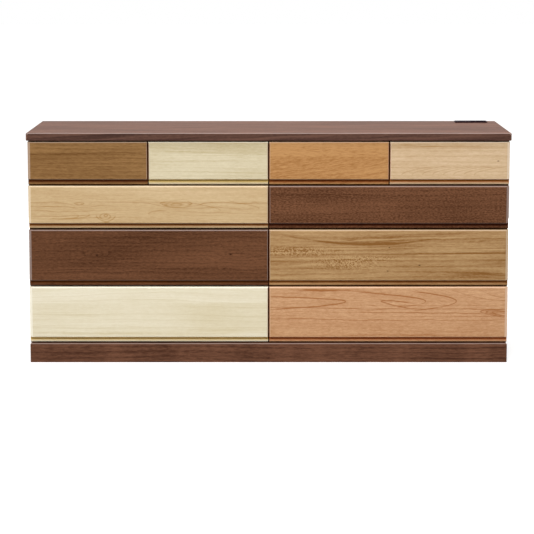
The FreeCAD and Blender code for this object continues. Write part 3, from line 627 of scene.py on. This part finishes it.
class Grain:
    """A board's grain, from the distances along it, across it and into the board. A seam starts another
    board, with its own tone and a jump in the grain. Slow noise sways the grain, quick noise ripples it."""

    def __init__(self, finish, look):
        self.finish = finish
        self.look = look
        self.along, self.across, self.depth = grain_axes(finish, look["turn"])
        self.board = 0.0
        self.tone = 0.0
        for height, tone in look["seams"]:
            upper = self.across.above(height * MM)
            self.board = upper + self.board
            self.tone = upper * tone + self.tone
        self.run = self.along + self.board * SEAM_JUMP + look["seed"]
        self.tilted = self.across + self.along * look["slant"] * (1 - self.board)
        slow = self.board_noise(SLOW_GRID, look["seed"]) - 0.5
        self.quick = self.board_noise(QUICK_GRID, look["seed"]) - 0.5
        waves = slow * (2 * look["sway"] * MM) + self.quick * (2 * look["ripple"] * MM)
        self.level = self.tilted + self.depth * RING_LEAN + waves
        self.warped = self.level + self.quick * WARP

    def board_noise(self, grid, offset=0.0, detail=2.0):
        """Noise that follows the boards but not the sway of the grain."""
        along, across = grid
        return self.finish.noise(
            self.run * along, self.tilted * across, self.depth * across + offset, detail)

    def grain_noise(self, grid, detail, rough):
        """Noise drawn out along the swayed grain."""
        along, across = grid
        return self.finish.noise(
            self.run * along, self.warped * across, self.depth * across, detail, rough)

    def wavy(self, share):
        """Distance across the grain, wavering a little."""
        return self.across + self.quick * share

    def rings(self):
        """Late wood, 0 to 1. Rings are level lines of a field that runs across the grain and that eyes lift.
        Each rises slowly and ends sharply, some are weaker, and a band keeps them to some heights."""
        look = self.look
        field = self.level / (look["pitch"] * MM) + self.board * RING_JUMP
        across, along = WANDER_GRID
        wander = self.finish.noise(field * across, self.run * along, look["seed"]) - 0.5
        field = field + wander * look["wander"]
        for *spot, rings in look["eyes"]:
            field = field + bell(self.along, self.across, spot) * rings
        late = field.fraction().hump(look["start"], LATE_PEAK, LATE_PEAK, 1.0)
        ring, along, across = WEIGHT_GRID
        weight = self.finish.noise(
            field.whole() * ring + look["seed"], self.run * along, self.across * across, 1.0)
        late = late * weight.step(*WEIGHT_LEVELS)
        if look["band"]:
            inside = self.across.hump(*(height * MM for height in look["band"]))
            late = late * (inside * (1 - BAND_REST) + BAND_REST)
        return late

    def darkness(self, late, fibre, pore):
        """Share of the late wood's colour, 0 to 1: rings and noise, then the marks that have places."""
        look = self.look
        patch = self.board_noise(PATCH_GRID, PATCH_OFFSET, 1.0)
        speckle = self.grain_noise(look["speckle_grid"], *SPECKLE) - 0.5
        streak = self.grain_noise(look["streak_grid"], *STREAK) - 0.5
        more, least = STREAK_SHARES
        streak = streak * (patch.step(*STREAK_PATCH) * more + least)
        blotch = self.board_noise(look["blotch_grid"]) - 0.5
        dark = late * look["rings"] + fibre * FIBRE_DARK + pore * look["pores"] + self.tone + MEAN_DARK
        dark = dark + speckle * look["speckle"] + streak * look["streak"] + blotch * look["blotch"]
        if look["flecks"]:
            fleck = self.grain_noise(*FLECK).step(*FLECK_LEVELS) * patch.step(*FLECK_PATCH)
            dark = dark - fleck * look["flecks"]
        for *spot, strength in look["streaks"]:
            dark = dark + bent(self.along, self.wavy(STREAK_WAVE), spot) * strength
        for spot in look["arcs"]:
            dark = dark + arc(self.along, self.wavy(ARC_WAVE), spot)
        for *spot, strength in look["loops"]:
            dark = dark + loop(self.along, self.wavy(LOOP_WAVE), spot) * strength
        if look["grit"]:
            along, across = GRIT_GRID
            dots = self.finish.noise(self.run * along, self.across * across, self.depth * across, 1.0)
            dots = dots - GRIT_LEVEL
            for *spot, strength in look["grit"]:
                dark = dark + dots * bell(self.along, self.across, spot) * (GRIT_DARK * strength)
        return dark.clamped()

    def edged(self, base, shade):
        """The colour near a board's front edges, by the depth behind its front plane: painted shade on a
        front edge, painted highlights on the arrises, and on a face with a pull painted shade in the slits at
        its inner ends and painted shadow inside its pull."""
        look = self.look
        mix = self.finish.mix
        if look["edge"]:
            front, edge_shade_colour = look["edge"]
            # Painted shade: the top board's front face made darker than its lit upper face
            shade = mix(1 - self.depth.step(front, front + EDGE_FADE), shade, edge_shade_colour, "MULTIPLY")
        if look["arris"]:
            front, reach, sheen, foot = look["arris"]
            behind = self.depth - front
            # Painted highlight: the arrises are made paler than the wood, standing in for the sheen of the
            # lamps on them
            rim = behind.hump(*ARRIS_START, reach, ARRIS_FADE * reach) * self.across.above(foot)
            shade = mix(rim * ARRIS_SHARE, shade, opaque(base * ARRIS_GAIN + sheen))
        if look["pull"]:
            over = self.across - look["pull"]
            # Painted shade: the back of the chamfers at the faces' inner ends darkened, standing in for the
            # shadow in the slits
            slit_shadow = behind.hump(*SLIT_DEPTHS) * self.along.near(0.0, SLIT_REACH)
            slit_shadow = slit_shadow * over.above(0.0) * (1 - self.across.above(look["slit_top"]))
            shade = mix(slit_shadow, shade, SLIT_PAINTED_SHADE, "MULTIPLY")
            # Painted shadow inside the finger pull's recess, darkest under its ceiling
            pull_shadow = behind.step(*PULL_DEPTHS) * over.step(*PULL_DROPS) * (1 - over.above(PULL_CLEAR))
            shade = mix(pull_shadow, shade, opaque(look["pull_shadow"]), "MULTIPLY")
        return shade


def wood(name, rgb, look):
    """Lacquered wood, from its mean display colour and its figure: pale wood and late wood mixed by how dark
    the grain is, with gleams and knots over them and then painted light and shade at the edges."""
    look = {**PLAIN, **look}
    finish = Finish(name)
    grain = Grain(finish, look)
    late = grain.rings()
    fibre = grain.grain_noise(*FIBRE) - 0.5
    pore = grain.grain_noise(*PORE).step(*PORE_LEVELS) if look["pores"] else 0.0

    base = linear(rgb)
    deep = base * look["late"]
    shade = finish.mix(grain.darkness(late, fibre, pore), opaque(base * look["light"]), opaque(deep))
    for *spot, strength in look["gleams"]:
        gleam = bent(grain.along, grain.wavy(STREAK_WAVE), spot) * strength
        shade = finish.mix(gleam, shade, opaque(base * GLEAM))
    for x, z, radius in look["knots"]:
        heart = bell(grain.along, grain.across, (x, z, radius * KNOT_LENGTH, radius))
        shade = finish.mix(heart, shade, opaque(deep * KNOT_SHARE))
    shade = grain.edged(base, shade)

    rough = look["rough"] + fibre * FIBRE_ROUGH + late * LATE_ROUGH
    height = fibre * FIBRE_HEIGHT + late * LATE_HEIGHT - pore * PORE_DEPTH
    normal = finish.bump(height, WOOD_RELIEF)
    return finish.surface(Base_Color=shade, Roughness=rough, Normal=normal, Specular_IOR_Level=look["gloss"])


# Metal, plastic and rubber
def centred_noise(finish, spot, grid):
    """Noise about 0 at a surface point, by its steps per metre along X, Y and Z."""
    return finish.noise(*(part * steps for part, steps in zip(spot, grid))) - 0.5


def clouded(name):
    """A finish whose colour and roughness drift in soft clouds. Returns it with its surface point, colour and
    roughness."""
    grid, first, second, rough, drift = CLOUDS[name]
    finish = Finish(name)
    spot = finish.place()
    cloud = centred_noise(finish, spot, grid)
    shade = finish.mix((cloud + 0.5).clamped(), opaque(linear(first)), opaque(linear(second)))
    return finish, spot, shade, rough + cloud * drift


def zinc_steel():
    """Rolled steel with a bright zinc coat: fine lines along the slide and faint spangle."""
    finish, spot, shade, rough = clouded("zinc_steel")
    line = centred_noise(finish, spot, ZINC_LINES)
    rough = rough + line * ZINC_ROUGH
    normal = finish.bump(line, METAL_RELIEF)
    return finish.surface(Base_Color=shade, Metallic=1.0, Roughness=rough, Normal=normal)


def screw_steel():
    """Bright plated screws with a little cloudiness."""
    finish, _, shade, rough = clouded("screw_steel")
    return finish.surface(Base_Color=shade, Metallic=1.0, Roughness=rough)


def black_plastic():
    """Moulded black plastic with a fine spark-eroded grain."""
    finish, spot, shade, rough = clouded("black_plastic")
    normal = finish.bump(centred_noise(finish, spot, PLASTIC_GRAIN), METAL_RELIEF)
    return finish.surface(
        Base_Color=shade, Roughness=rough, Specular_IOR_Level=PLASTIC_GLOSS, Normal=normal)


def clear_rubber():
    """Milky soft plastic of the bumper dots."""
    finish, _, shade, rough = clouded("clear_rubber")
    return finish.surface(Base_Color=shade, Roughness=rough)


def dress(nodes, material):
    """Gives CAD nodes a finish in every material slot."""
    for name in nodes:
        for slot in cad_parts[name].material_slots:
            slot.material = material


# Small fixings, as surfaces on polar grids
def mesh_piece(name, shell, material, body):
    """A new piece from an array of corners and a list of faces, riding on a body."""
    points, faces = shell
    mesh = bpy.data.meshes.new(name)
    mesh.from_pydata(points, [], faces)
    mesh.polygons.foreach_set("use_smooth", np.ones(len(mesh.polygons), dtype=bool))
    mesh.validate()
    mesh.update()
    mesh.materials.append(material)
    item = bpy.data.objects.new(name, mesh)
    bpy.context.scene.collection.objects.link(item)
    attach(item, body)


def turned_heads(spots, axis, profile, sides, cross=0.0):
    """Copies of a turned head about a level axis. The profile is radius and height pairs from the rim's foot
    to the middle; point (k, j) lies at angle 2 pi j / sides on ring k, and a cross recess of that depth is
    pressed in where one plan distance is within the cross's width and the other within its reach. A flat face
    closes the middle ring and another the foot, so each head is a closed shell."""
    angle = 2 * np.pi * np.arange(sides) / sides
    radius, height = profile[:, :1], profile[:, 1:]
    u = radius * np.cos(angle)
    v = radius * np.sin(angle)
    h = np.broadcast_to(height, u.shape).copy()
    if cross:
        rim = radius.max()
        slim = np.minimum(abs(u), abs(v)) < CROSS_WIDTH * rim
        reach = np.maximum(abs(u), abs(v)) < CROSS_REACH * rim
        h -= cross * (slim & reach & (height > 0))
    axis = np.array(axis, dtype=float)
    up = np.array([0.0, 0.0, 1.0])
    right = np.cross(up, axis)
    head = u[..., None] * right + v[..., None] * up + h[..., None] * axis
    points = spots[:, None, None, :] + head[None]
    index = np.arange(len(spots) * len(profile) * sides).reshape(len(spots), len(profile), sides)
    after = np.roll(index, -1, axis=2)
    bands = np.stack([index[:, :-1], after[:, :-1], after[:, 1:], index[:, 1:]], axis=-1)
    caps = np.concatenate([index[:, -1], index[:, 0, ::-1]])
    return points.reshape(-1, 3), bands.reshape(-1, 4).tolist() + caps.tolist()


def pan_profile(diameter, rise):
    """Rim, then a shallow dome rise * (1 - (r / R)^2) ^ 0.5 over a straight foot, to a small middle ring."""
    share = np.array([1.0, 1.0, 0.96, 0.86, 0.74, 0.63, 0.60, 0.45, 0.30, 0.16, 0.10, 0.05])
    height = rise * (PAN_FOOT + (1 - PAN_FOOT) * np.sqrt(1 - share ** 2))
    height[0] = 0.0
    return np.stack([share * diameter / 2, height], axis=1)


def flat_profile(diameter, rise):
    """A low disc with an eased rim."""
    share = np.array([1.0, 1.0, 0.9, 0.6, 0.3, 0.1])
    height = rise * np.array([0.0, 0.6, 1.0, 1.0, 1.0, 1.0])
    return np.stack([share * diameter / 2, height], axis=1)


def face_screw_spots(name):
    """Two screws near each end of a drawer's front board, on its inner face, and two more at a wide drawer's
    middle."""
    low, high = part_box(f"{name}_box")
    count = 2 if name in SMALL else 3
    columns = np.linspace(low[0] + FACE_SCREW_INSET, high[0] - FACE_SCREW_INSET, count)
    rows = low[2] + (high[2] - low[2]) * np.array(FACE_SCREW_SHARES)
    x, z = np.meshgrid(columns, rows)
    return np.stack([x.ravel(), np.full(x.size, low[1] + BOX_WALL), z.ravel()], axis=1)


def slide_screw_spots(name, sign):
    """Three screws on the outer side of a drawer's slide member and three on the inner side of the wall
    member facing it, on the left for a sign of -1 and on the right for 1."""
    low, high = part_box(f"{name}_box")
    slide_low, slide_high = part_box(f"{name}_slide_inner")
    side = low[0] if sign < 0 else high[0]
    y = slide_low[1] + np.array(SLIDE_HOLES)
    z = np.full(len(y), (slide_low[2] + slide_high[2]) / 2)
    inner = np.full(len(y), side + sign * SLIDE_WEB)
    outer = np.full(len(y), side + sign * (SLIDE_WIDTH - SLIDE_WEB))
    return np.stack([inner, y, z], axis=1), np.stack([outer, y, z], axis=1)


def back_pin_spots():
    """A row of pins across each back panel, at the height of the shelves under the small drawers."""
    low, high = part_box("back_panels")
    shelf_low, shelf_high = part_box("drawer_shelves")
    left = np.linspace(low[0] + PIN_INSET, -PIN_INSET, PINS_A_PANEL)
    right = np.linspace(PIN_INSET, high[0] - PIN_INSET, PINS_A_PANEL)
    x = np.concatenate([left, right])
    z = np.full(len(x), (shelf_low[2] + shelf_high[2]) / 2)
    return np.stack([x, np.full(len(x), high[1]), z], axis=1)


def bumper_spots():
    """Two dots behind the outer end of each face that ends at a side panel, on the panel's front edge."""
    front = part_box("left_side_panel")[0][1]
    spots = []
    for name in DRAWERS:
        low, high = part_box(f"{name}_face")
        ends = []
        if low[0] < -OUTER_END:
            ends.append(low[0] + BUMPER_INSET)
        if high[0] > OUTER_END:
            ends.append(high[0] - BUMPER_INSET)
        spots += [(x, front, z) for x in ends for z in (low[2] + BUMPER_DROP, high[2] - BUMPER_DROP)]
    return np.array(spots)


# Operators
class CHEST_OT_faces(bpy.types.Operator):
    """Gives each drawer face its own wood"""
    bl_idname = "chest.faces"
    bl_label = "Drawer Faces"

    def execute(self, context):
        woods = context.scene.chest_woods
        for drawer, name in zip(DRAWERS, WOODS):
            low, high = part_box(f"{drawer}_face")
            pull = low[2] + PULL_HEIGHT
            # Painted highlight on the face's arrises down to the pull, painted shade in its slits and inside
            # its pull
            arris = (low[1], FACE_ARRIS, ARRIS_SHEEN, pull - PULL_EASE)
            look = {**WOODS[name], "arris": arris, "pull": pull, "slit_top": high[2] - FACE_ARRIS}
            dress([f"{drawer}_face"], wood(f"{name}_wood", getattr(woods, name), look))
        return {"FINISHED"}


class CHEST_OT_carcass(bpy.types.Operator):
    """Finishes the top, sides, plinth, partitions and back"""
    bl_idname = "chest.carcass"
    bl_label = "Carcass and Plinth"

    def execute(self, context):
        woods = context.scene.chest_woods
        low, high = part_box("top_board")
        # Painted shade on the top board's front face and a painted highlight on its arris
        edge = (low[1] + TOP_EDGE_SET, TOP_EDGE_SHADE)
        arris = (low[1] + TOP_ARRIS_SET, TOP_ARRIS, TOP_SHEEN, high[2] - TOP_ROUND)
        look = {**WOODS["walnut_top"], "edge": edge, "arris": arris}
        dress(["top_board"], wood("walnut_top", woods.walnut_top, look))

        plinth = WOODS["walnut_plinth"]
        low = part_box("plinth_front")[0]
        # Painted highlight on the plinth's arrises
        look = {**plinth, "arris": (low[1], PLINTH_ARRIS, ARRIS_SHEEN, low[2])}
        dress(["plinth_front"], wood("walnut_plinth", woods.walnut, look))
        dress(["plinth_sides"], wood("walnut_plinth_side", woods.walnut, {**plinth, "turn": "y"}))
        sides = ["left_side_panel", "right_side_panel"]
        dress(sides, wood("walnut_side", woods.walnut, WOODS["walnut_side"]))

        carcass = WOODS["carcass"]
        level = ["drawer_shelves", "front_rails", "bottom_board", "plinth_back", "plinth_corner_blocks"]
        dress(level, wood("carcass_wood", woods.carcass, carcass))
        upright = ["centre_partition", "short_partitions", "plinth_brace"]
        dress(upright, wood("carcass_upright", woods.carcass, {**carcass, "turn": "z"}))
        dress(["back_panels"], wood("back_plywood", woods.plywood, WOODS["plywood"]))
        return {"FINISHED"}


class CHEST_OT_boxes(bpy.types.Operator):
    """Finishes the drawer boxes, their bottoms and the wooden runners"""
    bl_idname = "chest.boxes"
    bl_label = "Drawer Boxes"

    def execute(self, context):
        woods = context.scene.chest_woods
        dress([f"{name}_box" for name in DRAWERS], wood("drawer_wood", woods.box, WOODS["box"]))
        bottoms = [f"{name}_bottom" for name in DRAWERS]
        dress(bottoms, wood("bottom_plywood", woods.plywood, WOODS["plywood"]))
        dress(["small_drawer_runners"], wood("runner_wood", woods.runner, WOODS["runner"]))
        return {"FINISHED"}


class CHEST_OT_hardware(bpy.types.Operator):
    """Finishes the slides and the power outlet"""
    bl_idname = "chest.hardware"
    bl_label = "Slides and Outlet"

    def execute(self, context):
        members = [f"{name}_slide_{part}" for name in WIDE for part in ("inner", "middle")]
        dress(members + ["slide_outer_members"], zinc_steel())
        dress(["outlet_housing", "outlet_shutter"], black_plastic())
        return {"FINISHED"}


class CHEST_OT_fixings(bpy.types.Operator):
    """Adds the face screws, back pins, soft bumpers and slide screws"""
    bl_idname = "chest.fixings"
    bl_label = "Small Fixings"

    def execute(self, context):
        sizes = context.scene.chest_fixings
        sides = sizes.sides
        steel = screw_steel()
        rearward = (0, 1, 0)
        forward = (0, -1, 0)

        pan = pan_profile(sizes.screw_head, FACE_SCREW_RISE)
        for name in DRAWERS:
            heads = turned_heads(face_screw_spots(name), rearward, pan, sides, FACE_SCREW_CROSS)
            mesh_piece(f"{name}_face_screws", heads, steel, name)

        pins = turned_heads(back_pin_spots(), rearward, flat_profile(sizes.pin_head, PIN_RISE), sides)
        mesh_piece("back_pins", pins, steel, "chest")
        dots = turned_heads(bumper_spots(), forward, flat_profile(sizes.bumper, BUMPER_RISE), sides)
        mesh_piece("face_bumpers", dots, clear_rubber(), "chest")

        pan = pan_profile(sizes.slide_screw_head, SLIDE_SCREW_RISE)
        flat = flat_profile(sizes.slide_screw_head, WALL_SCREW_RISE)
        for name in WIDE:
            for side, sign in (("left", -1), ("right", 1)):
                inner, outer = slide_screw_spots(name, sign)
                heads = turned_heads(inner, (sign, 0, 0), pan, sides, SLIDE_SCREW_CROSS)
                mesh_piece(f"{name}_{side}_slide_screws", heads, steel, name)
                heads = turned_heads(outer, (-sign, 0, 0), flat, sides)
                mesh_piece(f"{name}_{side}_wall_screws", heads, steel, "chest")
        return {"FINISHED"}


# Studio
def area_light(name, place, target, size, watts):
    """A soft rectangular lamp at a place, turned towards a target."""
    data = bpy.data.lights.new(name, "AREA")
    data.shape = "RECTANGLE"
    data.size, data.size_y = size
    data.energy = watts
    item = bpy.data.objects.new(name, data)
    bpy.context.scene.collection.objects.link(item)
    item.location = place
    x, y, z = np.subtract(target, place)
    turn = math.atan2(y, x) - math.pi / 2
    tilt = math.atan2(math.hypot(x, y), -z)
    item.rotation_euler = (tilt, 0, turn)
    item.visible_camera = False


def floor_white():
    """Pale paper. To the camera and in gloss it glows a little, and more with distance, so it ends in white.
    Inside the plinth it doesn't glow."""
    finish = Finish("floor_white")
    x, y, _ = finish.place()
    paper = finish.noise(x * PAPER_GRID, y * PAPER_GRID, 0.0, 3.0) * PAPER_GRAIN + PAPER_TONE
    away = (x * x + y * y) ** 0.5
    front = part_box("plinth_front")[0][1]
    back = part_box("plinth_back")[0][1]
    half_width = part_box("plinth_front")[1][0] - FLOOR_INSET
    under = x.near(0.0, half_width) * y.near((front + back) / 2, (back - front) / 2)
    glow = (away.step(*GLOW_REACH) * GLOW_GROWTH + GLOW_NEAR) * finish.seen() * (1 - under)
    finish.surface(Base_Color=finish.grey(paper), Roughness=PAPER_ROUGH)
    return finish.surface(Emission_Color=finish.grey(glow), Emission_Strength=1.0)


class CHEST_OT_studio(bpy.types.Operator):
    """Sets the pale floor, the soft lights and the camera"""
    bl_idname = "chest.studio"
    bl_label = "Studio"

    def execute(self, context):
        scene = context.scene
        studio = scene.chest_studio
        scene.view_settings.view_transform = "Standard"

        mesh = bpy.data.meshes.new("floor")
        corners = np.array([(-1, -1, 0), (1, -1, 0), (1, 1, 0), (-1, 1, 0)]) * FLOOR_REACH
        mesh.from_pydata(corners, [], [(0, 1, 2, 3)])
        mesh.materials.append(floor_white())
        floor = bpy.data.objects.new("floor", mesh)
        scene.collection.objects.link(floor)

        world = bpy.data.worlds.new("studio")
        scene.world = world
        world.use_nodes = True
        sky = Nodes(world.node_tree)
        back = sky.tree.nodes["Background"]
        back.inputs["Color"].default_value = (1, 1, 1, 1)
        sky.feed(back.inputs["Strength"], sky.seen() * (1 - studio.fill) + studio.fill)

        for name, (place, target, size) in LAMPS.items():
            area_light(name, place, target, size, getattr(studio, name))

        data = bpy.data.cameras.new("camera")
        data.lens = studio.lens
        data.sensor_width = 36.0
        data.shift_x = studio.shift_x
        data.shift_y = studio.shift_y
        data.clip_end = 200.0
        camera = bpy.data.objects.new("camera", data)
        scene.collection.objects.link(camera)
        camera.location = (0.0, -studio.distance, studio.height)
        camera.rotation_euler = (math.pi / 2 - studio.pitch, 0.0, 0.0)
        scene.camera = camera
        return {"FINISHED"}


class CHEST_PT_panel(bpy.types.Panel):
    """Lists the steps that dress the chest, in order"""
    bl_idname = "CHEST_PT_panel"
    bl_label = "Low Chest"
    bl_space_type = "VIEW_3D"
    bl_region_type = "UI"
    bl_category = "Chest"

    def draw(self, context):
        for step in STEPS:
            self.layout.operator(step.bl_idname)


STEPS = (
    CHEST_OT_faces, CHEST_OT_carcass, CHEST_OT_boxes, CHEST_OT_hardware, CHEST_OT_fixings, CHEST_OT_studio,
)
GROUPS = {"chest_woods": ChestWoods, "chest_fixings": ChestFixings, "chest_studio": ChestStudio}


def register():
    for group in (*GROUPS.values(), *STEPS, CHEST_PT_panel):
        bpy.utils.register_class(group)
    for name, group in GROUPS.items():
        setattr(bpy.types.Scene, name, PointerProperty(type=group))


def unregister():
    for name in GROUPS:
        delattr(bpy.types.Scene, name)
    for group in (CHEST_PT_panel, *reversed(STEPS), *reversed(GROUPS.values())):
        bpy.utils.unregister_class(group)


def main():
    register()
    bpy.ops.chest.faces()
    bpy.ops.chest.carcass()
    bpy.ops.chest.boxes()
    bpy.ops.chest.hardware()
    bpy.ops.chest.fixings()
    bpy.ops.chest.studio()


if __name__ == "__main__":
    main()
